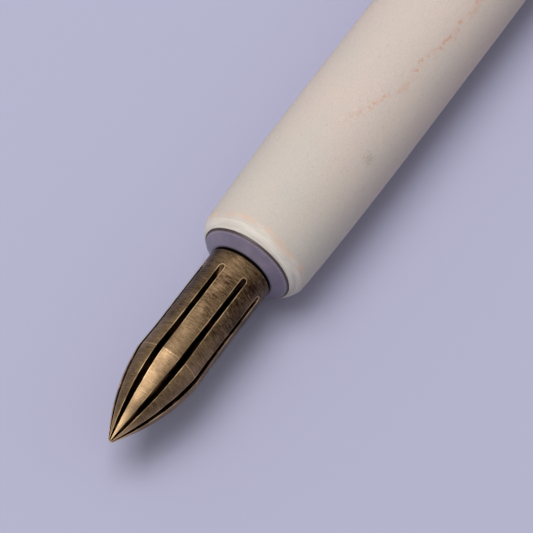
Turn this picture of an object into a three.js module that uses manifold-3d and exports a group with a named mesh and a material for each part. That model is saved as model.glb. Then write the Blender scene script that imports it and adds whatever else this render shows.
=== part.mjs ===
// A dip pen lying on its side: a solid fluted brass nib pushed into a moulded collar, a ceramic
// barrel bonded over a brass liner tube, and a plug that closes the bore at the tail.
//
// Millimetres, +Z up. The pen lies along X with the nib's point towards -X. The origin is under the
// middle of the pen, on the surface that the barrel rests on.
//
// Every piece is round about the pen's own axis, so each is drawn as a profile of (radius, station),
// where a station is the distance from the nib's point along the axis.
import * as THREE from 'three';
import { mergeVertices } from 'three/addons/utils/BufferGeometryUtils.js';
import Module from 'manifold-3d';

const wasm = await Module();
wasm.setup();

// ---------------------------------------------------------------- driving dimensions
const PEN_LENGTH = 140;
const ROUND_SEGMENTS = 24; // a multiple of 4 puts a flat at the bottom, the top and both sides
const CURVE_STEPS = 5; // straight steps along each curved stretch of a profile

// Nib: the fluted head that shows, and the plain shank that is held in the collar
const NIB_RADIUS = 3.3;
const NIB_REACH = 21.8; // from the point to the shoulder behind the head
const POINT_RADIUS = 0.26; // where the rounded point meets the ogive
const POINT_LENGTH = 0.12;
const OGIVE_LENGTH = 9.4; // to the faint ridge at which the ogive ends
const OGIVE_RADIUS = 3.38;
const OGIVE_BULGE_RADIUS = 2.98; // pulls the ogive outwards half-way along
const BODY_STATION = 11.9; // the straight body starts here
const NIB_EDGE = 0.14; // chamfer on the shoulder's edge
const SHANK_RADIUS = 2.2;
const SHANK_LENGTH = 12;
const SHANK_CHAMFER = 0.4;

// Flutes that hold the ink, each milled by a wheel that lifts out of the metal behind the head
const FLUTE_COUNT = 8;
const FLUTE_PHASE = 32.3; // degrees about the axis from straight up
const CORE_RADIUS = 1.92; // the core that the flutes leave along the body ...
const CORE_RADIUS_AT_POINT = 0.17; // ... and at the point
const CORE_FULL_STATION = 8.5; // station at which the core reaches its full radius
const FLUTE_LIFT_START = 16.1; // station at which the wheel begins to lift
const FLUTE_END = 20.1; // station at which it has left the metal
const FLUTE_HALF_WIDTH = 0.35; // at the widest, behind the ogive
const FLUTE_END_HALF_WIDTH = 0.28;
const FLUTE_POINT_HALF_WIDTH = 0.05;

// Collar: a flanged bush with a conical face, and two seats inside it for the grip rings
const SHOULDER_GAP = 0.2;
const COLLAR_FRONT = NIB_REACH + SHOULDER_GAP;
const COLLAR_FACE_RADIUS = 3.45;
const FLANGE_RADIUS = 4.67;
const FLANGE_EDGE = 0.1;
const CONE_LENGTH = 0.9;
const FLANGE_BACK = COLLAR_FRONT + 2;
const COLLAR_BORE = 2.27;
const SLEEVE_RADIUS = 3.5;
const SLEEVE_END = 37;
const SLEEVE_CHAMFER = 0.3;
const GRIP_STATIONS = [27, 32];
const GRIP_SEAT_RADIUS = 3.07;
const GRIP_SEAT_WIDTH = 0.9;
const GRIP_CORD_RADIUS = 0.4;
const GRIP_CLEARANCE = 0.03;

// Liner tube
const LINER_FRONT = FLANGE_BACK + 0.1;
const LINER_LENGTH = 30;
const LINER_RADIUS = 3.95;
const LINER_BORE = 3.56;

// Barrel
const BARREL_FRONT = COLLAR_FRONT + CONE_LENGTH + FLANGE_EDGE;
const BARREL_RADIUS = 6;
const BARREL_MOUTH = FLANGE_RADIUS + 0.07;
const FRONT_EDGE_LENGTH = 1.35; // of the rounded front edge
const FRONT_EDGE_RADIUS = 5.62;
const FULL_START = 42; // the barrel is a true cylinder from here ...
const FULL_END = 84; // ... to here
const BARREL_BORE = 4;
const BORE_STEP = 56; // the wide front bore ends here
const REAR_BORE = 2.6;
const BARREL_END = 139;
const TAIL_EDGE_LENGTH = 1.4;
const TAIL_RADIUS = 4.9;

// Tail plug
const PLUG_RADIUS = 3.5;
const PLUG_FACE_RADIUS = 2.4;
const PLUG_HEAD_LENGTH = 1.6;
const PLUG_SEAT_GAP = 0.1;
const PLUG_MOUTH = PLUG_RADIUS + 0.07;
const SPIGOT_RADIUS = 2.55;
const SPIGOT_LENGTH = 11;
const SPIGOT_CHAMFER = 0.3;

// ---------------------------------------------------------------- materials
const finish = (color, roughness, metalness) =>
  new THREE.MeshStandardMaterial({ color, roughness, metalness });
const agedBrass = finish(0x8f7350, 0.38, 1);
const linerBrass = finish(0xb99a5c, 0.45, 1);
const mauvePlastic = finish(0x756a82, 0.45, 0);
const blackRubber = finish(0x1c1c1e, 0.8, 0);
const chalkyCeramic = finish(0xcfc6bc, 0.75, 0);

// ---------------------------------------------------------------- solids
// A closed geometry as a manifold-3d solid.
function toSolid(geometry) {
  const bare = geometry.clone();
  bare.deleteAttribute('normal');
  bare.deleteAttribute('uv');
  const merged = mergeVertices(bare, 1e-4);
  return new wasm.Manifold(
    new wasm.Mesh({
      numProp: 3,
      vertProperties: merged.attributes.position.array,
      triVerts: new Uint32Array(merged.index.array),
    }),
  );
}

// A manifold-3d solid as a geometry.
function toGeometry(solid) {
  const mesh = solid.getMesh();
  return new THREE.BufferGeometry()
    .setAttribute('position', new THREE.BufferAttribute(mesh.vertProperties, 3))
    .setIndex(new THREE.BufferAttribute(mesh.triVerts, 1));
}

// A profile of (radius, station) turned about the pen's axis. The stated radius is that of the
// middle of each flat, and half a segment of turn puts one flat at the very bottom.
function turned(profile) {
  const halfSegment = Math.PI / ROUND_SEGMENTS;
  const corner = 1 / Math.cos(halfSegment);
  const points = profile.getPoints(CURVE_STEPS);
  return new THREE.LatheGeometry(points, ROUND_SEGMENTS, halfSegment).scale(corner, 1, corner);
}

function extruded(shape, depth) {
  return new THREE.ExtrudeGeometry(shape, { depth, bevelEnabled: false, curveSegments: CURVE_STEPS });
}

// ---------------------------------------------------------------- nib
function nibBlank() {
  const tail = NIB_REACH + SHANK_LENGTH;
  const profile = new THREE.Path();
  profile.moveTo(0, 0);
  profile.quadraticCurveTo(POINT_RADIUS - 0.05, 0, POINT_RADIUS, POINT_LENGTH);
  profile.quadraticCurveTo(OGIVE_BULGE_RADIUS, OGIVE_LENGTH / 2, OGIVE_RADIUS, OGIVE_LENGTH);
  profile.lineTo(NIB_RADIUS, BODY_STATION);
  profile.lineTo(NIB_RADIUS, NIB_REACH - NIB_EDGE);
  profile.lineTo(NIB_RADIUS - NIB_EDGE, NIB_REACH);
  profile.lineTo(SHANK_RADIUS, NIB_REACH);
  profile.lineTo(SHANK_RADIUS, tail - SHANK_CHAMFER);
  profile.lineTo(SHANK_RADIUS - SHANK_CHAMFER, tail);
  profile.lineTo(0, tail);
  return turned(profile);
}

// The space that one flute takes: its floor, drawn from the side, crossed with its outline, drawn
// from above with a round end.
function fluteCutter() {
  const outside = OGIVE_RADIUS + 0.5;
  const lift = FLUTE_END - FLUTE_LIFT_START;
  const depth = NIB_RADIUS - CORE_RADIUS;
  const wheel = (lift ** 2 + depth ** 2) / (2 * depth);
  const liftAngle = Math.acos(1 - (outside - CORE_RADIUS) / wheel);
  const side = new THREE.Shape();
  side.moveTo(CORE_RADIUS_AT_POINT, 0);
  side.lineTo(CORE_RADIUS, CORE_FULL_STATION);
  side.absarc(CORE_RADIUS + wheel, FLUTE_LIFT_START, wheel, Math.PI, Math.PI - liftAngle, true);
  side.lineTo(outside, 0);

  const roundEnd = FLUTE_END - FLUTE_END_HALF_WIDTH;
  const plan = new THREE.Shape();
  plan.moveTo(FLUTE_POINT_HALF_WIDTH, 0);
  plan.quadraticCurveTo(FLUTE_HALF_WIDTH + 0.1, OGIVE_LENGTH / 2, FLUTE_HALF_WIDTH, OGIVE_LENGTH);
  plan.lineTo(FLUTE_END_HALF_WIDTH, roundEnd);
  plan.absarc(0, roundEnd, FLUTE_END_HALF_WIDTH, 0, Math.PI, false);
  plan.lineTo(-FLUTE_HALF_WIDTH, OGIVE_LENGTH);
  plan.quadraticCurveTo(-FLUTE_HALF_WIDTH - 0.1, OGIVE_LENGTH / 2, -FLUTE_POINT_HALF_WIDTH, 0);

  const width = 4 * FLUTE_HALF_WIDTH;
  const sideSolid = toSolid(extruded(side, width).translate(0, 0, -width / 2));
  const planSolid = toSolid(extruded(plan, outside + 1).rotateY(Math.PI / 2));
  return toGeometry(sideSolid.intersect(planSolid));
}

function nibGeometry() {
  const cutter = fluteCutter();
  let solid = toSolid(nibBlank());
  for (let i = 0; i < FLUTE_COUNT; i += 1) {
    // The cutter lies in the turning frame's +X direction, a quarter turn round from straight up.
    const angle = THREE.MathUtils.degToRad(FLUTE_PHASE - 90 + (i * 360) / FLUTE_COUNT);
    solid = solid.subtract(toSolid(cutter.clone().rotateY(angle)));
  }
  return toGeometry(solid);
}

// ---------------------------------------------------------------- collar and grip rings
function collarGeometry() {
  const coneEnd = COLLAR_FRONT + CONE_LENGTH;
  const profile = new THREE.Path();
  profile.moveTo(COLLAR_BORE, COLLAR_FRONT);
  profile.lineTo(COLLAR_FACE_RADIUS, COLLAR_FRONT);
  profile.lineTo(FLANGE_RADIUS - FLANGE_EDGE, coneEnd);
  profile.lineTo(FLANGE_RADIUS, coneEnd + FLANGE_EDGE);
  profile.lineTo(FLANGE_RADIUS, FLANGE_BACK);
  profile.lineTo(SLEEVE_RADIUS, FLANGE_BACK);
  profile.lineTo(SLEEVE_RADIUS, SLEEVE_END - SLEEVE_CHAMFER);
  profile.lineTo(SLEEVE_RADIUS - SLEEVE_CHAMFER, SLEEVE_END);
  profile.lineTo(COLLAR_BORE, SLEEVE_END);
  for (const seat of [...GRIP_STATIONS].reverse()) {
    const [front, back] = [seat - GRIP_SEAT_WIDTH / 2, seat + GRIP_SEAT_WIDTH / 2];
    profile.lineTo(COLLAR_BORE, back);
    profile.lineTo(GRIP_SEAT_RADIUS, back);
    profile.lineTo(GRIP_SEAT_RADIUS, front);
    profile.lineTo(COLLAR_BORE, front);
  }
  profile.lineTo(COLLAR_BORE, COLLAR_FRONT);
  return turned(profile);
}

// A rubber ring round the nib's shank.
function gripRingGeometry(station) {
  const centre = SHANK_RADIUS + GRIP_CLEARANCE + GRIP_CORD_RADIUS;
  const profile = new THREE.Path();
  profile.absarc(centre, station, GRIP_CORD_RADIUS, 0, 2 * Math.PI, false);
  return turned(profile);
}

// ---------------------------------------------------------------- liner, barrel and tail plug
function linerGeometry() {
  const end = LINER_FRONT + LINER_LENGTH;
  const profile = new THREE.Path();
  profile.moveTo(LINER_BORE, LINER_FRONT);
  profile.lineTo(LINER_RADIUS, LINER_FRONT);
  profile.lineTo(LINER_RADIUS, end);
  profile.lineTo(LINER_BORE, end);
  profile.lineTo(LINER_BORE, LINER_FRONT);
  return turned(profile);
}

function barrelGeometry() {
  const plugSeat = PEN_LENGTH - PLUG_HEAD_LENGTH - PLUG_SEAT_GAP;
  const counterbore = FLANGE_BACK + PLUG_SEAT_GAP;
  const sideStart = BARREL_FRONT + FRONT_EDGE_LENGTH;
  const sideEnd = BARREL_END - TAIL_EDGE_LENGTH;
  const profile = new THREE.Path();
  profile.moveTo(BARREL_MOUTH, BARREL_FRONT);
  profile.quadraticCurveTo(FRONT_EDGE_RADIUS - 0.3, BARREL_FRONT + 0.5, FRONT_EDGE_RADIUS, sideStart);
  profile.quadraticCurveTo(BARREL_RADIUS - 0.05, 30.5, BARREL_RADIUS, FULL_START);
  profile.lineTo(BARREL_RADIUS, FULL_END);
  profile.quadraticCurveTo(BARREL_RADIUS, (FULL_END + sideEnd) / 2, TAIL_RADIUS, sideEnd);
  profile.quadraticCurveTo(TAIL_RADIUS - 0.15, BARREL_END - 0.2, PLUG_MOUTH, BARREL_END);
  profile.lineTo(PLUG_MOUTH, plugSeat);
  profile.lineTo(REAR_BORE, plugSeat);
  profile.lineTo(REAR_BORE, BORE_STEP);
  profile.lineTo(BARREL_BORE, BORE_STEP);
  profile.lineTo(BARREL_BORE, counterbore);
  profile.lineTo(BARREL_MOUTH, counterbore);
  profile.lineTo(BARREL_MOUTH, BARREL_FRONT);
  return turned(profile);
}

function tailPlugGeometry() {
  const seat = PEN_LENGTH - PLUG_HEAD_LENGTH;
  const spigotEnd = seat - SPIGOT_LENGTH;
  const profile = new THREE.Path();
  profile.moveTo(0, spigotEnd);
  profile.lineTo(SPIGOT_RADIUS - SPIGOT_CHAMFER, spigotEnd);
  profile.lineTo(SPIGOT_RADIUS, spigotEnd + SPIGOT_CHAMFER);
  profile.lineTo(SPIGOT_RADIUS, seat);
  profile.lineTo(PLUG_RADIUS, seat);
  profile.lineTo(PLUG_RADIUS, BARREL_END);
  profile.quadraticCurveTo(PLUG_RADIUS - 0.15, PEN_LENGTH - 0.1, PLUG_FACE_RADIUS, PEN_LENGTH);
  profile.lineTo(0, PEN_LENGTH);
  return turned(profile);
}

// ---------------------------------------------------------------- assembly
// The turning frame has the pen's axis along +Y. A quarter turn about Z lays it down along +X, and
// lifting it by the barrel's radius brings the barrel's lowest flat to Z = 0.
const pen = new THREE.Group();
pen.rotation.z = -Math.PI / 2;
pen.position.set(-PEN_LENGTH / 2, 0, BARREL_RADIUS);

function add(name, geometry, material) {
  const mesh = new THREE.Mesh(geometry, material);
  mesh.name = name;
  pen.add(mesh);
}

add('nib', nibGeometry(), agedBrass);
add('collar', collarGeometry(), mauvePlastic);
add('grip_ring_front', gripRingGeometry(GRIP_STATIONS[0]), blackRubber);
add('grip_ring_rear', gripRingGeometry(GRIP_STATIONS[1]), blackRubber);
add('liner_tube', linerGeometry(), linerBrass);
add('barrel', barrelGeometry(), chalkyCeramic);
add('tail_plug', tailPlugGeometry(), mauvePlastic);

const root = new THREE.Group();
root.add(pen);

export default root;
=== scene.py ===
"""The looks of the dip pen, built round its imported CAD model.

Profiles and tables are in millimetres and Blender is in metres. A station is the distance from the
nib's point along the pen's axis, and a turn is an angle about that axis, 0 straight up and positive
towards -Y, the side that faces the camera.
"""
import math

import bmesh
import bpy
import numpy as np
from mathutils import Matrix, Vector


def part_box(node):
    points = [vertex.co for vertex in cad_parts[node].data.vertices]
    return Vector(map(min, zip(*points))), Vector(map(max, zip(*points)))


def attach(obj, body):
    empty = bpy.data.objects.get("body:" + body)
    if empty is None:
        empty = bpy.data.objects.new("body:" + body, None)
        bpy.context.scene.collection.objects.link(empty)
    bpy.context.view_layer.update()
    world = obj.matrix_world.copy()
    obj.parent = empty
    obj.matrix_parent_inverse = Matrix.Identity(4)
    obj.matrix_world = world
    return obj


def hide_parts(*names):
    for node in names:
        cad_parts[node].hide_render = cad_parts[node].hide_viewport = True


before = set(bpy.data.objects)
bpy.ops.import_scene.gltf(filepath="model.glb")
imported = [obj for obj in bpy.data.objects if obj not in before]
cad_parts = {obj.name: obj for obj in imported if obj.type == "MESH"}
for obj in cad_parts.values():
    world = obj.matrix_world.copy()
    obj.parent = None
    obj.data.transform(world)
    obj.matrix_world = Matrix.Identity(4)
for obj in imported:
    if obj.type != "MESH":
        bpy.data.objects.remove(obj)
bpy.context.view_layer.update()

# ---------------------------------------------------------------- sizes
MM = 0.001
SEGMENTS = 192  # round the pen, on every turned piece
FILLET_STEPS = 5

POINT_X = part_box("nib")[0].x
AXIS_Z = (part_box("barrel")[0].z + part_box("barrel")[1].z) / 2


def station_of(x):
    return (x - POINT_X) / MM


def span(node):
    """The stations at which a CAD node starts and ends."""
    low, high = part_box(node)
    return station_of(low.x), station_of(high.x)


def radius_of(node):
    low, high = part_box(node)
    return (high.z - low.z) / 2 / MM


# Nib
NIB_END = span("nib")[1]
SHANK_LENGTH = 12
NIB_REACH = NIB_END - SHANK_LENGTH
NIB_RADIUS = 3.3
POINT_RADIUS = 0.26
POINT_LENGTH = 0.12
OGIVE_LENGTH = 9.4
OGIVE_RADIUS = radius_of("nib")
OGIVE_BULGE_RADIUS = 2.98
BODY_STATION = 11.9
NIB_EDGE = 0.14
SHANK_RADIUS = 2.2
SHANK_CHAMFER = 0.4

# Flutes
FLUTE_COUNT = 8
FLUTE_PHASE = math.radians(32.3)
CORE_RADIUS = 1.92
CORE_RADIUS_AT_POINT = 0.17
CORE_FULL_STATION = 8.5
FLUTE_LIFT_START = 16.1
FLUTE_END = 20.1
FLUTE_HALF_WIDTHS = [(0, 0.06), (1.8, 0.18), (5.5, 0.35), (10.5, 0.345), (14.5, 0.29), (20.5, 0.28)]
FLUTE_EDGE = 0.035  # rounding of a flute's edges
FLUTE_MOST = 0.6  # the most that a flute may take of its share of the nib's girth
FLUTE_SQUARENESS = 2 / 3  # 1 gives flutes an elliptical section, and less gives a squarer one
FLUTE_ROUND_END = 0.6  # the stretch at a flute's end with the finest steps

# Collar and grip rings
COLLAR_FRONT, COLLAR_END = span("collar")
CONE_LENGTH = 0.9
FLANGE_LENGTH = 2
COLLAR_FACE_RADIUS = 3.45
FLANGE_RADIUS = radius_of("collar")
FLANGE_EDGE = 0.14
COLLAR_BORE = 2.27
SLEEVE_RADIUS = 3.5
GRIP_SEAT_RADIUS = 3.07
GRIP_SEAT_WIDTH = 0.9
GRIP_RINGS = ["grip_ring_front", "grip_ring_rear"]
GRIP_CORD_RADIUS = 0.4

# Liner tube
LINER_FRONT, LINER_END = span("liner_tube")
LINER_RADIUS = radius_of("liner_tube")
LINER_BORE = 3.56
LINER_FILLET = 0.08

# Barrel
BARREL_FRONT, BARREL_END = span("barrel")
BARREL_RADIUS = radius_of("barrel")
BARREL_MOUTH = FLANGE_RADIUS + 0.07
FRONT_EDGE_LENGTH = 1.35
FRONT_EDGE_RADIUS = 5.62
SWELL_STATION = 30.5  # the bend of the curve from the shoulder to the full width
FULL_START = 42
FULL_END = 84
BARREL_BORE = 4
BORE_STEP = 56
REAR_BORE = 2.6
TAIL_EDGE_LENGTH = 1.4
TAIL_RADIUS = 4.9

# Marks on the ceramic, as stations and turns
BLUSH = (26, 42)  # where the ceramic gets pinker
SCRAPE_LOWER = (38, 46, 0.19, 0.57)  # from station to station, from turn to turn
SCRAPE_UPPER = (46, 57, 0, 0.15)  # the same, added to the first stretch
SCRAPE_FADES = ((36, 42), (66, 60))
STAIN_STATION = 37.2
STAIN_TURN = 0.88

# Tail plug
PLUG_START, PLUG_END = span("tail_plug")
PLUG_RADIUS = 3.5
PLUG_FACE_RADIUS = 2.4
PLUG_HEAD_LENGTH = 1.6
PLUG_MOUTH = PLUG_RADIUS + 0.07
SPIGOT_RADIUS = 2.55

# Camera and lights
CAMERA_AZIMUTH = math.radians(-56.8)
CAMERA_ELEVATION = math.radians(58.48)
CAMERA_DISTANCE = 0.35
CAMERA_LENS = 249.3
CAMERA_TARGET_STATION = 23.73
CAMERA_TARGET_SIDE = -1.72
LIT_POINT = Vector((-0.03, 0, 0))
WORLD_FADE = {"From Min": 0.0, "From Max": 0.85, "To Min": 0.08, "To Max": 0.56}


# ---------------------------------------------------------------- profiles
def quadratic(start, bend, end, steps=12):
    """Points along a quadratic curve of (station, radius), without its start."""
    found = []
    for i in range(1, steps + 1):
        t = i / steps
        weights = ((1 - t) ** 2, 2 * t * (1 - t), t * t)
        found.append(tuple(np.dot(weights, pair) for pair in zip(start, bend, end)))
    return found


def filleted(corners, closed=False):
    """A profile through (station, radius, fillet) corners, each one rounded off by its fillet."""
    points = []
    count = len(corners)
    for i, (station, radius, fillet) in enumerate(corners):
        here = np.array((station, radius), float)
        if not fillet or (not closed and i in (0, count - 1)):
            points.append(tuple(here))
            continue
        sides = []
        for other in (corners[i - 1], corners[(i + 1) % count]):
            way = np.array(other[:2], float) - here
            sides.append(here + way * min(fillet / np.linalg.norm(way), 0.5))
        points.append(tuple(sides[0]))
        points += quadratic(sides[0], here, sides[1], FILLET_STEPS)
    return points


def point_at(station, radius, turn):
    return (
        POINT_X + station * MM,
        -radius * math.sin(turn) * MM,
        AXIS_Z + radius * math.cos(turn) * MM,
    )


# ---------------------------------------------------------------- meshes
def finish_mesh(name, mesh_data, body, *nodes):
    """The bmesh as a smooth piece that rides on body and stands for the CAD nodes."""
    bmesh.ops.recalc_face_normals(mesh_data, faces=mesh_data.faces)
    mesh = bpy.data.meshes.new(name)
    mesh_data.to_mesh(mesh)
    mesh_data.free()
    mesh.shade_smooth()
    piece = bpy.data.objects.new(name, mesh)
    bpy.context.scene.collection.objects.link(piece)
    weighted = piece.modifiers.new("even_shading", "WEIGHTED_NORMAL")
    weighted.weight = 80
    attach(piece, body)
    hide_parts(*nodes)
    return piece


def join_rings(mesh_data, rings, closed):
    """Faces between each ring of vertices and the next. A ring of one vertex is a point on the axis."""
    following = rings[1:] + rings[:1] if closed else rings[1:]
    for ring, after in zip(rings, following):
        count = max(len(ring), len(after))
        for i in range(count):
            j = (i + 1) % count
            corners = [ring[i % len(ring)], ring[j % len(ring)]]
            corners += [after[j % len(after)], after[i % len(after)]]
            mesh_data.faces.new(list(dict.fromkeys(corners)))


def turned(name, profile, body, *nodes, closed=False):
    """A piece turned about the pen's axis from a profile of (station, radius)."""
    mesh_data = bmesh.new()
    rings = []
    for station, radius in profile:
        turns = [0] if radius < 1e-9 else np.arange(SEGMENTS) * 2 * math.pi / SEGMENTS
        rings.append([mesh_data.verts.new(point_at(station, radius, turn)) for turn in turns])
    join_rings(mesh_data, rings, closed)
    return finish_mesh(name, mesh_data, body, *nodes)


# ---------------------------------------------------------------- nib
def nib_profile():
    """The nib's outline as (station, radius), with no flutes, closer together where its shape turns."""
    point = (POINT_LENGTH, POINT_RADIUS)
    ridge = (OGIVE_LENGTH, OGIVE_RADIUS)
    outline = [(0, 0)]
    outline += quadratic((0, 0), (0, POINT_RADIUS - 0.05), point, 6)
    outline += quadratic(point, (OGIVE_LENGTH / 2, OGIVE_BULGE_RADIUS), ridge, 56)
    slope = (NIB_RADIUS - OGIVE_RADIUS) / (BODY_STATION - OGIVE_LENGTH)
    outline += [(OGIVE_LENGTH + step, OGIVE_RADIUS + slope * step) for step in (0.06, 0.3, 1, 1.8)]
    outline += [(station, NIB_RADIUS) for station in np.linspace(BODY_STATION, FLUTE_LIFT_START, 10)]
    lift = np.linspace(FLUTE_LIFT_START, FLUTE_END - FLUTE_ROUND_END, 26)[1:]
    outline += [(station, NIB_RADIUS) for station in lift]
    ending = FLUTE_END - FLUTE_ROUND_END * np.cos(np.linspace(0, math.pi / 2, 18))[1:]
    outline += [(station, NIB_RADIUS) for station in ending]
    outline += [(FLUTE_END + step, NIB_RADIUS) for step in (0.02, 0.08, 0.3, 0.8)]
    base = [
        (FLUTE_END + 1, NIB_RADIUS, 0),
        (NIB_REACH - NIB_EDGE, NIB_RADIUS, 0.06),
        (NIB_REACH, NIB_RADIUS - NIB_EDGE, 0.06),
        (NIB_REACH, SHANK_RADIUS, 0.05),
        (NIB_END - SHANK_CHAMFER, SHANK_RADIUS, 0.1),
        (NIB_END, SHANK_RADIUS - SHANK_CHAMFER, 0.1),
        (NIB_END, 0, 0),
    ]
    return outline + filleted(base)


def core_radius(station):
    """The radius of the bottom of a flute. Behind the lift it follows the rim of the milling wheel."""
    if station < CORE_FULL_STATION:
        return np.interp(station, (0, CORE_FULL_STATION), (CORE_RADIUS_AT_POINT, CORE_RADIUS))
    if station < FLUTE_LIFT_START:
        return CORE_RADIUS
    lift, depth = FLUTE_END - FLUTE_LIFT_START, NIB_RADIUS - CORE_RADIUS
    wheel = (lift ** 2 + depth ** 2) / (2 * depth)
    return CORE_RADIUS + wheel - math.sqrt(wheel ** 2 - min(station - FLUTE_LIFT_START, lift) ** 2)


def flute_section(station, radius):
    """Half of one flute and half of the land beside it, as (turn, radius, depth, distance) from the
    middle of the flute to the middle of the land. Depth is below the land and distance is from the
    flute's edge."""
    half_pitch = math.pi / FLUTE_COUNT
    fluted = station < FLUTE_END and radius > core_radius(station)
    depth = radius - core_radius(station) if fluted else 0
    stations, half_widths = zip(*FLUTE_HALF_WIDTHS)
    full = min(np.interp(station, stations, half_widths), FLUTE_MOST * radius * half_pitch)
    share = min(depth / full, 1)
    half_width = max(full * math.sqrt(1 - (1 - share) ** 2), 0.03 * full)
    edge = max(min(FLUTE_EDGE, depth / 3, 0.2 * full), 0.002 * full)
    found = []
    for angle in np.linspace(math.pi / 2, 0.12, 9):
        offset = half_width * math.cos(angle) ** FLUTE_SQUARENESS
        found.append((offset, depth * math.sin(angle) ** FLUTE_SQUARENESS))
    found = [(offset, max(below, edge if depth else 0)) for offset, below in found]
    found += quadratic((half_width, min(edge, depth)), (half_width, 0), (half_width + edge, 0), 4)
    rows = []
    for offset, below in found:
        across, up = offset, math.sqrt(radius ** 2 - offset ** 2) - below
        rows.append((math.atan2(across, up), math.hypot(across, up), below, 0))
    land_start = rows[-1][0]
    for share in (0.03, 0.07, 0.12, 0.2, 0.32, 0.5, 0.75, 1):
        turn = land_start + (half_pitch - land_start) * share
        rows.append((turn, radius, 0, (turn - land_start) * radius))
    end_centre = FLUTE_END - full
    if station > end_centre:
        behind = station - end_centre
        rows = [
            (turn, r, below, distance if below > 0 else max(math.hypot(behind, turn * radius) - full, 0))
            for turn, r, below, distance in rows
        ]
    return rows


def fluted_ring(station, radius):
    """One whole ring of the nib: each flute's half section and its mirror image, eight times."""
    half = flute_section(station, radius)
    whole = [(-turn, *rest) for turn, *rest in half[:0:-1]] + half[:-1]
    ring = []
    for i in range(FLUTE_COUNT):
        middle = FLUTE_PHASE + i * 2 * math.pi / FLUTE_COUNT
        ring += [(middle + turn, *rest) for turn, *rest in whole]
    return ring


def make_nib():
    mesh_data = bmesh.new()
    depth_layer = mesh_data.verts.layers.float.new("flute_depth")
    edge_layer = mesh_data.verts.layers.float.new("edge_distance")
    rings = []
    for station, radius in nib_profile():
        if radius < 1e-9:
            rings.append([mesh_data.verts.new(point_at(station, 0, 0))])
            continue
        ring = []
        for turn, out, below, distance in fluted_ring(station, radius):
            vert = mesh_data.verts.new(point_at(station, out, turn))
            vert[depth_layer] = below
            vert[edge_layer] = distance
            ring.append(vert)
        rings.append(ring)
    join_rings(mesh_data, rings, closed=False)
    return finish_mesh("fluted_nib", mesh_data, "nib", "nib")


# ---------------------------------------------------------------- turned pieces
def make_collar():
    cone_end = COLLAR_FRONT + CONE_LENGTH
    flange_back = COLLAR_FRONT + FLANGE_LENGTH
    corners = [
        (COLLAR_FRONT, COLLAR_BORE, 0.05),
        (COLLAR_FRONT, COLLAR_FACE_RADIUS, 0.08),
        (cone_end, FLANGE_RADIUS, FLANGE_EDGE),
        (flange_back, FLANGE_RADIUS, 0.05),
        (flange_back, SLEEVE_RADIUS, 0.05),
        (COLLAR_END, SLEEVE_RADIUS, 0.3),
        (COLLAR_END, COLLAR_BORE, 0.1),
    ]
    for ring in reversed(GRIP_RINGS):
        middle = sum(span(ring)) / 2
        front, back = middle - GRIP_SEAT_WIDTH / 2, middle + GRIP_SEAT_WIDTH / 2
        corners += [
            (back, COLLAR_BORE, 0.04),
            (back, GRIP_SEAT_RADIUS, 0.04),
            (front, GRIP_SEAT_RADIUS, 0.04),
            (front, COLLAR_BORE, 0.04),
        ]
    return turned("moulded_collar", filleted(corners, closed=True), "holder", "collar", closed=True)


def make_grip_ring(node):
    middle = sum(span(node)) / 2
    centre = radius_of(node) - GRIP_CORD_RADIUS
    angles = np.linspace(0, 2 * math.pi, 24, endpoint=False)
    profile = [
        (middle + GRIP_CORD_RADIUS * math.cos(angle), centre + GRIP_CORD_RADIUS * math.sin(angle))
        for angle in angles
    ]
    return turned("rubber_" + node, profile, "grip_rings", node, closed=True)


def make_liner():
    ends = [
        (LINER_FRONT, LINER_BORE),
        (LINER_FRONT, LINER_RADIUS),
        (LINER_END, LINER_RADIUS),
        (LINER_END, LINER_BORE),
    ]
    profile = filleted([(*end, LINER_FILLET) for end in ends], closed=True)
    return turned("drawn_liner_tube", profile, "holder", "liner_tube", closed=True)


def barrel_outside():
    """The barrel's outside from the mouth to the tail, as (station, radius)."""
    mouth = (BARREL_FRONT, BARREL_MOUTH)
    shoulder = (BARREL_FRONT + FRONT_EDGE_LENGTH, FRONT_EDGE_RADIUS)
    full_start = (FULL_START, BARREL_RADIUS)
    full_end = (FULL_END, BARREL_RADIUS)
    tail = (BARREL_END - TAIL_EDGE_LENGTH, TAIL_RADIUS)
    lip = (BARREL_END, PLUG_MOUTH)
    outline = [mouth]
    outline += quadratic(mouth, (BARREL_FRONT + 0.5, FRONT_EDGE_RADIUS - 0.3), shoulder, 14)
    outline += quadratic(shoulder, (SWELL_STATION, BARREL_RADIUS - 0.05), full_start, 24)
    outline += [(station, BARREL_RADIUS) for station in np.linspace(FULL_START, FULL_END, 24)[1:]]
    outline += quadratic(full_end, ((FULL_END + tail[0]) / 2, BARREL_RADIUS), tail, 30)
    outline += quadratic(tail, (BARREL_END - 0.2, TAIL_RADIUS - 0.15), lip, 14)
    return outline


def make_barrel():
    plug_seat = PLUG_END - PLUG_HEAD_LENGTH - 0.1
    counterbore = COLLAR_FRONT + FLANGE_LENGTH + 0.1
    inside = filleted(
        [
            (BARREL_END, PLUG_MOUTH, 0),
            (plug_seat, PLUG_MOUTH, 0.05),
            (plug_seat, REAR_BORE, 0.05),
            (BORE_STEP, REAR_BORE, 0.1),
            (BORE_STEP, BARREL_BORE, 0.1),
            (counterbore, BARREL_BORE, 0.05),
            (counterbore, BARREL_MOUTH, 0.05),
            (BARREL_FRONT, BARREL_MOUTH, 0),
        ]
    )
    profile = barrel_outside() + inside[1:-1]
    return turned("ceramic_barrel", profile, "holder", "barrel", closed=True)


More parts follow.
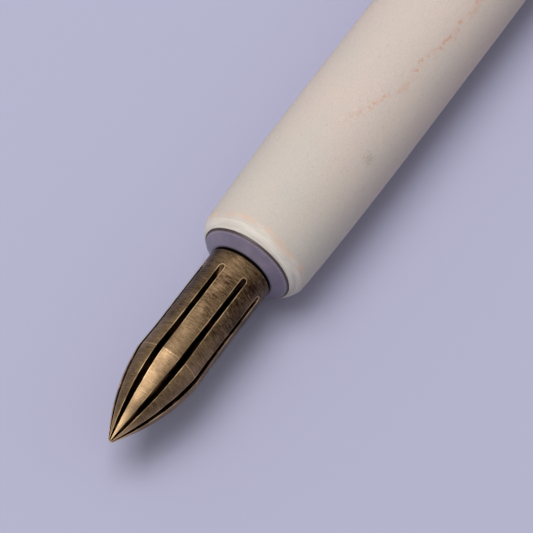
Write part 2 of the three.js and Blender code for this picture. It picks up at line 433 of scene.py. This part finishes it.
def make_tail_plug():
    seat = PLUG_END - PLUG_HEAD_LENGTH
    profile = filleted(
        [
            (PLUG_START, 0, 0),
            (PLUG_START, SPIGOT_RADIUS - 0.3, 0.1),
            (PLUG_START + 0.3, SPIGOT_RADIUS, 0.1),
            (seat, SPIGOT_RADIUS, 0.05),
            (seat, PLUG_RADIUS, 0.05),
            (BARREL_END, PLUG_RADIUS, 0),
        ]
    )
    lip = (BARREL_END, PLUG_RADIUS)
    profile += quadratic(lip, (PLUG_END - 0.1, PLUG_RADIUS - 0.15), (PLUG_END, PLUG_FACE_RADIUS), 10)
    profile.append((PLUG_END, 0))
    return turned("moulded_tail_plug", profile, "holder", "tail_plug")


# ---------------------------------------------------------------- materials
class Nodes:
    """A Principled material and short ways to add nodes to it. Wherever a value is asked for, it may
    be a number, a tuple or another node's output. Lengths in the patterns are millimetres."""

    def __init__(self, name, metallic, roughness):
        self.material = bpy.data.materials.new(name)
        self.material.use_nodes = True
        self.tree = self.material.node_tree
        self.shader = self.tree.nodes["Principled BSDF"]
        self.shader.inputs["Metallic"].default_value = metallic
        self.shader.inputs["Roughness"].default_value = roughness
        place = self.tree.nodes.new("ShaderNodeTexCoord").outputs["Object"]
        axes = self.tree.nodes.new("ShaderNodeSeparateXYZ")
        self.feed(axes.inputs[0], place)
        self.place = place
        self.station = self.math("MULTIPLY_ADD", axes.outputs["X"], 1 / MM, -POINT_X / MM)
        self.side = self.math("MULTIPLY", axes.outputs["Y"], -1 / MM)
        self.up = self.math("MULTIPLY_ADD", axes.outputs["Z"], 1 / MM, -AXIS_Z / MM)

    def feed(self, socket, value):
        if isinstance(value, bpy.types.NodeSocket):
            self.tree.links.new(value, socket)
        else:
            socket.default_value = value

    def math(self, operation, *values):
        node = self.tree.nodes.new("ShaderNodeMath")
        node.operation = operation
        for socket, value in zip(node.inputs, values):
            self.feed(socket, value)
        return node.outputs[0]

    def ramp(self, value, start, end, low=0, high=1):
        """From low where value is start to high where it is end, with soft shoulders."""
        node = self.tree.nodes.new("ShaderNodeMapRange")
        node.interpolation_type = "SMOOTHSTEP"
        for socket, given in zip(node.inputs, (value, start, end, low, high)):
            self.feed(socket, given)
        return node.outputs[0]

    def peak(self, value, centre, width):
        """1 where value is centre, falling softly to 0 at width to either side."""
        away = self.math("ABSOLUTE", self.math("SUBTRACT", value, centre))
        return self.ramp(away, width, 0)

    def noise(self, along, across, detail=2, shift=0):
        """Noise with so many cells per millimetre along the pen and across it, from 0 to 1."""
        mapping = self.tree.nodes.new("ShaderNodeMapping")
        self.feed(mapping.inputs["Vector"], self.place)
        mapping.inputs["Location"].default_value = (shift, shift, shift)
        mapping.inputs["Scale"].default_value = (along / MM, across / MM, across / MM)
        node = self.tree.nodes.new("ShaderNodeTexNoise")
        self.feed(node.inputs["Vector"], mapping.outputs[0])
        node.inputs["Scale"].default_value = 1
        node.inputs["Detail"].default_value = detail
        return self.ramp(node.outputs[0], 0.25, 0.75)

    def mix(self, share, low, high):
        node = self.tree.nodes.new("ShaderNodeMix")
        node.data_type = "RGBA"
        self.feed(node.inputs["Factor"], share)
        for name, colour in (("A", low), ("B", high)):
            sockets = [socket for socket in node.inputs if socket.name == name and socket.type == "RGBA"]
            self.feed(sockets[0], (*colour, 1) if isinstance(colour, tuple) else colour)
        return next(socket for socket in node.outputs if socket.type == "RGBA")

    def attribute(self, name):
        node = self.tree.nodes.new("ShaderNodeAttribute")
        node.attribute_name = name
        return node.outputs["Fac"]

    def radius(self):
        """The distance from the pen's axis in millimetres."""
        return self.math("SQRT", self.math("MULTIPLY_ADD", self.side, self.side, self.square(self.up)))

    def turn(self):
        """The angle about the pen's axis in radians."""
        return self.math("ARCTAN2", self.side, self.up)

    def square(self, value):
        return self.times(value, value)

    def times(self, value, *others):
        for other in others:
            value = self.math("MULTIPLY", value, other)
        return value

    def total(self, start, *shares):
        """A number plus each (value, weight) share."""
        for value, weight in shares:
            start = self.math("MULTIPLY_ADD", value, weight, start)
        return start

    def colour(self, value):
        self.feed(self.shader.inputs["Base Color"], value)

    def roughness(self, value):
        self.feed(self.shader.inputs["Roughness"], value)

    def bump(self, height, depth):
        """Relief of a height from 0 to 1 that stands for depth millimetres."""
        node = self.tree.nodes.new("ShaderNodeBump")
        node.inputs["Distance"].default_value = depth * MM
        self.feed(node.inputs["Height"], height)
        self.feed(self.shader.inputs["Normal"], node.outputs[0])


def aged_brass():
    """Turned brass under brown tarnish, darker towards the rear, with painted shade on the sides of the
    rear half: fine turning rings, worn bright along the edges of the flutes with a painted highlight on
    them, a painted highlight at the ridge behind the ogive and at the base, worn bright at the point,
    and black down in the flutes."""
    nodes = Nodes("aged_brass", 1, 0.4)
    edge = nodes.attribute("edge_distance")
    depth = nodes.attribute("flute_depth")
    rings = nodes.ramp(nodes.noise(14, 1.1, 5), 0.15, 0.85)
    grain = nodes.noise(9, 9, 3, 8)
    bands = nodes.noise(1.6, 0.4, 3, 7)
    patches = nodes.noise(0.55, 0.75, 4, 3)
    rear = nodes.ramp(nodes.station, 8, 18)
    painted_side_shade = nodes.ramp(nodes.math("ABSOLUTE", nodes.turn()), 0.3, 0.9)
    bright = nodes.total(0.03, (rings, 0.15), (grain, 0.12), (bands, 0.05), (patches, 0.13))
    # painted shade: the sides of the nib darker than its top over the rear half, on top of the rear being
    # darker
    bright = nodes.total(bright, (rear, -0.1), (nodes.times(painted_side_shade, rear), -0.1))
    wear_and_glint_patches = nodes.ramp(patches, 0.2, 0.9, 0.25, 0.8)
    # wear and painted highlights: flute edges worn bright with a painted highlight on them, a painted
    # highlight line at the ridge behind the ogive, a painted highlight on the base's edge, and the point
    # worn bright
    wear_and_highlights = [
        nodes.times(nodes.ramp(edge, 0.075, 0.03), wear_and_glint_patches),
        nodes.times(nodes.peak(nodes.station, OGIVE_LENGTH, 0.13), nodes.ramp(grain, 0, 1, 0.4, 0.8)),
        nodes.times(nodes.peak(nodes.station, NIB_REACH - NIB_EDGE, 0.12), wear_and_glint_patches),
        nodes.ramp(nodes.station, 4.5, 0, 0, 0.95),
    ]
    for place in wear_and_highlights:
        bright = nodes.math("MAXIMUM", bright, place)
    metal = nodes.mix(bright, (0.03, 0.013, 0.007), (0.83, 0.56, 0.31))
    wall = nodes.mix(nodes.ramp(patches, 0.4, 0.9), (0.012, 0.008, 0.006), (0.14, 0.08, 0.045))
    nodes.colour(nodes.mix(nodes.ramp(depth, 0, 0.05), metal, wall))
    nodes.roughness(nodes.total(0.42, (rings, 0.1), (patches, -0.1)))
    nodes.bump(rings, 0.003)
    return nodes.material


def liner_brass():
    """Drawn tube: pale brass with long fine die lines."""
    nodes = Nodes("liner_brass", 1, 0.4)
    lines = nodes.noise(0.05, 4, 3)
    nodes.colour(nodes.mix(lines, (0.42, 0.29, 0.12), (0.68, 0.5, 0.22)))
    nodes.roughness(nodes.ramp(lines, 0, 1, 0.3, 0.5))
    nodes.bump(lines, 0.004)
    return nodes.material


def mauve_plastic():
    """Satin plastic with faint clouds. The collar has a painted highlight on the rounded edge of its
    flange, a brown line of painted shade at the rim of its flange, and a black ring of painted shade in
    the gap round the nib."""
    nodes = Nodes("mauve_plastic", 0, 0.42)
    clouds = nodes.noise(0.6, 0.6, 4)
    grain = nodes.noise(9, 9, 2)
    body = nodes.mix(clouds, (0.175, 0.145, 0.21), (0.24, 0.2, 0.265))
    radius = nodes.radius()
    # painted shade: a brown line at the rim of the flange, where it meets the barrel's mouth
    rim = nodes.ramp(radius, FLANGE_RADIUS - 0.12, FLANGE_RADIUS - 0.04)
    face = nodes.ramp(nodes.station, COLLAR_FRONT + 0.5, COLLAR_FRONT + 0.1)
    # painted shade: black on the collar's face in the gap round the nib
    gap = nodes.times(face, nodes.ramp(radius, COLLAR_FACE_RADIUS - 0.14, COLLAR_FACE_RADIUS - 0.2))
    # painted highlight: a pale line on the rounded edge of the flange
    flange_glint = nodes.ramp(grain, 0.2, 1, 0.1, 0.6)
    flange_glint = nodes.times(flange_glint, nodes.peak(radius, FLANGE_RADIUS - 0.19, 0.07))
    body = nodes.mix(flange_glint, body, (0.5, 0.45, 0.5))
    body = nodes.mix(rim, body, (0.07, 0.04, 0.035))
    nodes.colour(nodes.mix(gap, body, (0.008, 0.006, 0.006)))
    nodes.roughness(nodes.ramp(clouds, 0, 1, 0.34, 0.46))
    nodes.bump(grain, 0.003)
    return nodes.material


def black_rubber():
    """Moulded rubber, slightly bloomed."""
    nodes = Nodes("black_rubber", 0, 0.7)
    bloom = nodes.noise(2, 2, 3)
    nodes.colour(nodes.mix(bloom, (0.012, 0.012, 0.013), (0.03, 0.03, 0.032)))
    nodes.roughness(nodes.ramp(bloom, 0, 1, 0.55, 0.8))
    nodes.bump(nodes.noise(8, 8, 2, 5), 0.004)
    return nodes.material


def chalky_ceramic():
    """Unglazed ceramic: a mottled cream body with specks, a rim made whiter as a painted highlight, a
    rust-coloured line round the shoulder, a broken rust-coloured scrape that winds along the top, and one
    stain."""
    nodes = Nodes("chalky_ceramic", 0, 0.85)
    clouds = nodes.noise(0.12, 0.2, 4)
    mottle = nodes.noise(0.8, 0.8, 5, 2)
    grain = nodes.noise(6, 6, 3, 4)
    pink = nodes.total(0, (nodes.ramp(nodes.station, *BLUSH), 0.45), (clouds, 0.55))
    body = nodes.mix(pink, (0.49, 0.475, 0.42), (0.61, 0.485, 0.425))
    body = nodes.mix(nodes.times(mottle, 0.6), body, (0.56, 0.49, 0.45))
    body = nodes.mix(nodes.ramp(grain, 0.2, 1, 0, 0.3), body, (0.44, 0.39, 0.35))
    specks = nodes.ramp(nodes.noise(3.2, 3.2, 2, 9), 0.9, 1, 0, 0.2)
    body = nodes.mix(specks, body, (0.26, 0.23, 0.2))
    body = rim_highlight_and_rust_line(nodes, body, mottle, grain)
    body = rust_scrape(nodes, body)
    stain = nodes.ramp(grain, 0.2, 0.8, 0.1, 0.6)
    stain = nodes.times(stain, nodes.peak(nodes.station, STAIN_STATION, 1))
    stain = nodes.times(stain, nodes.peak(nodes.turn(), STAIN_TURN, 0.16))
    nodes.colour(nodes.mix(stain, body, (0.3, 0.26, 0.2)))
    nodes.roughness(nodes.ramp(mottle, 0, 1, 0.78, 0.92))
    nodes.bump(grain, 0.014)
    return nodes.material


def rim_highlight_and_rust_line(nodes, body, mottle, grain):
    """The rounded front edge made whiter in strokes round the pen as a painted highlight, with a soft
    rust-coloured line round its shoulder."""
    shoulder = BARREL_FRONT + FRONT_EDGE_LENGTH
    wander = nodes.ramp(nodes.noise(0.02, 0.22, 3, 6), 0, 1, shoulder - 0.45, shoulder)
    behind = nodes.math("SUBTRACT", nodes.station, wander)
    strokes = nodes.noise(5, 0.3, 3, 10)
    # painted highlight: the rounded front edge whiter in strokes round the pen
    white = nodes.times(nodes.ramp(behind, 0.5, -0.5), nodes.ramp(strokes, 0.1, 0.9, 0.4, 1))
    body = nodes.mix(white, body, (0.74, 0.68, 0.61))
    strength = nodes.ramp(nodes.noise(0.7, 0.5, 4, 12), 0.2, 0.85, 0.06, 0.6)
    broken = nodes.ramp(nodes.times(strokes, mottle), 0, 0.5, 0.35, 1)
    line = nodes.times(nodes.peak(behind, 0.1, 0.65), strength, broken)
    return nodes.mix(line, body, (0.69, 0.42, 0.27))


def rust_scrape(nodes, body):
    """A line of faint rust-coloured dashes in a fainter haze, which winds along the top of the barrel."""
    path = nodes.ramp(nodes.station, *SCRAPE_LOWER)
    path = nodes.math("ADD", path, nodes.ramp(nodes.station, *SCRAPE_UPPER))
    path = nodes.math("ADD", path, nodes.ramp(nodes.noise(0.5, 0.01, 3, 3), 0, 1, -0.05, 0.05))
    away = nodes.math("SUBTRACT", nodes.turn(), path)
    dashes = nodes.ramp(nodes.noise(2, 1.2, 5, 14), 0.42, 0.8, 0, 0.65)
    stroke = nodes.times(nodes.peak(away, 0, 0.055), dashes)
    mist = nodes.ramp(nodes.noise(1.2, 1.6, 5, 5), 0.35, 1, 0, 0.35)
    haze = nodes.times(nodes.peak(away, 0.02, 0.14), mist)
    fades = [nodes.ramp(nodes.station, *fade) for fade in SCRAPE_FADES]
    scrape = nodes.times(nodes.math("MAXIMUM", stroke, haze), *fades)
    return nodes.mix(scrape, body, (0.57, 0.27, 0.17))


def plain(name, colour, roughness):
    nodes = Nodes(name, 0, roughness)
    nodes.colour((*colour, 1))
    return nodes.material


# ---------------------------------------------------------------- stage
def make_floor():
    bpy.ops.mesh.primitive_plane_add(size=4)
    floor = bpy.context.object
    floor.name = "floor"
    floor.data.materials.append(plain("floor", (0.4, 0.395, 0.535), 0.9))


def make_camera():
    target = Vector(point_at(CAMERA_TARGET_STATION, 0, 0)) + Vector((0, CAMERA_TARGET_SIDE * MM, 0))
    back = Vector(
        (
            math.sin(CAMERA_AZIMUTH) * math.cos(CAMERA_ELEVATION),
            -math.cos(CAMERA_AZIMUTH) * math.cos(CAMERA_ELEVATION),
            math.sin(CAMERA_ELEVATION),
        )
    )
    data = bpy.data.cameras.new("camera")
    data.lens = CAMERA_LENS
    data.clip_start, data.clip_end = 0.01, 10
    camera = bpy.data.objects.new("camera", data)
    camera.location = target + back * CAMERA_DISTANCE
    camera.rotation_mode = "QUATERNION"
    camera.rotation_quaternion = (-back).to_track_quat("-Z", "Y")
    bpy.context.scene.collection.objects.link(camera)
    bpy.context.scene.camera = camera


def softbox(name, direction, distance, size, power):
    """A square area light that shines on the front half of the pen from a direction."""
    data = bpy.data.lights.new(name, "AREA")
    data.size = size
    data.energy = power
    light = bpy.data.objects.new(name, data)
    way = Vector(direction).normalized()
    light.location = LIT_POINT + way * distance
    light.rotation_mode = "QUATERNION"
    light.rotation_quaternion = way.to_track_quat("Z", "Y")
    bpy.context.scene.collection.objects.link(light)


def make_world():
    """White all round, bright overhead and fading towards the horizon."""
    world = bpy.data.worlds.new("world")
    world.use_nodes = True
    tree = world.node_tree
    direction = tree.nodes.new("ShaderNodeTexCoord").outputs["Generated"]
    axes = tree.nodes.new("ShaderNodeSeparateXYZ")
    fade = tree.nodes.new("ShaderNodeMapRange")
    fade.interpolation_type = "SMOOTHSTEP"
    for name, value in WORLD_FADE.items():
        fade.inputs[name].default_value = value
    background = tree.nodes["Background"]
    background.inputs["Color"].default_value = (1, 1, 1, 1)
    tree.links.new(direction, axes.inputs[0])
    tree.links.new(axes.outputs["Z"], fade.inputs["Value"])
    tree.links.new(fade.outputs[0], background.inputs["Strength"])
    bpy.context.scene.world = world


def make_lights():
    make_world()
    softbox("key", direction=(-0.1, 0.2, 1), distance=0.7, size=0.46, power=3.6)
    softbox("fill", direction=(0.6, -1, 0.5), distance=0.8, size=0.7, power=0.6)
    softbox("back", direction=(0.4, 1, 0.4), distance=0.8, size=0.7, power=0.5)
    bpy.context.scene.view_settings.view_transform = "Standard"


# ---------------------------------------------------------------- the pen
def paint(piece, material):
    piece.data.materials.append(material)


make_camera()
mauve = mauve_plastic()
rubber = black_rubber()
paint(make_nib(), aged_brass())
paint(make_collar(), mauve)
for node in GRIP_RINGS:
    paint(make_grip_ring(node), rubber)
paint(make_liner(), liner_brass())
paint(make_barrel(), chalky_ceramic())
paint(make_tail_plug(), mauve)
make_floor()
make_lights()
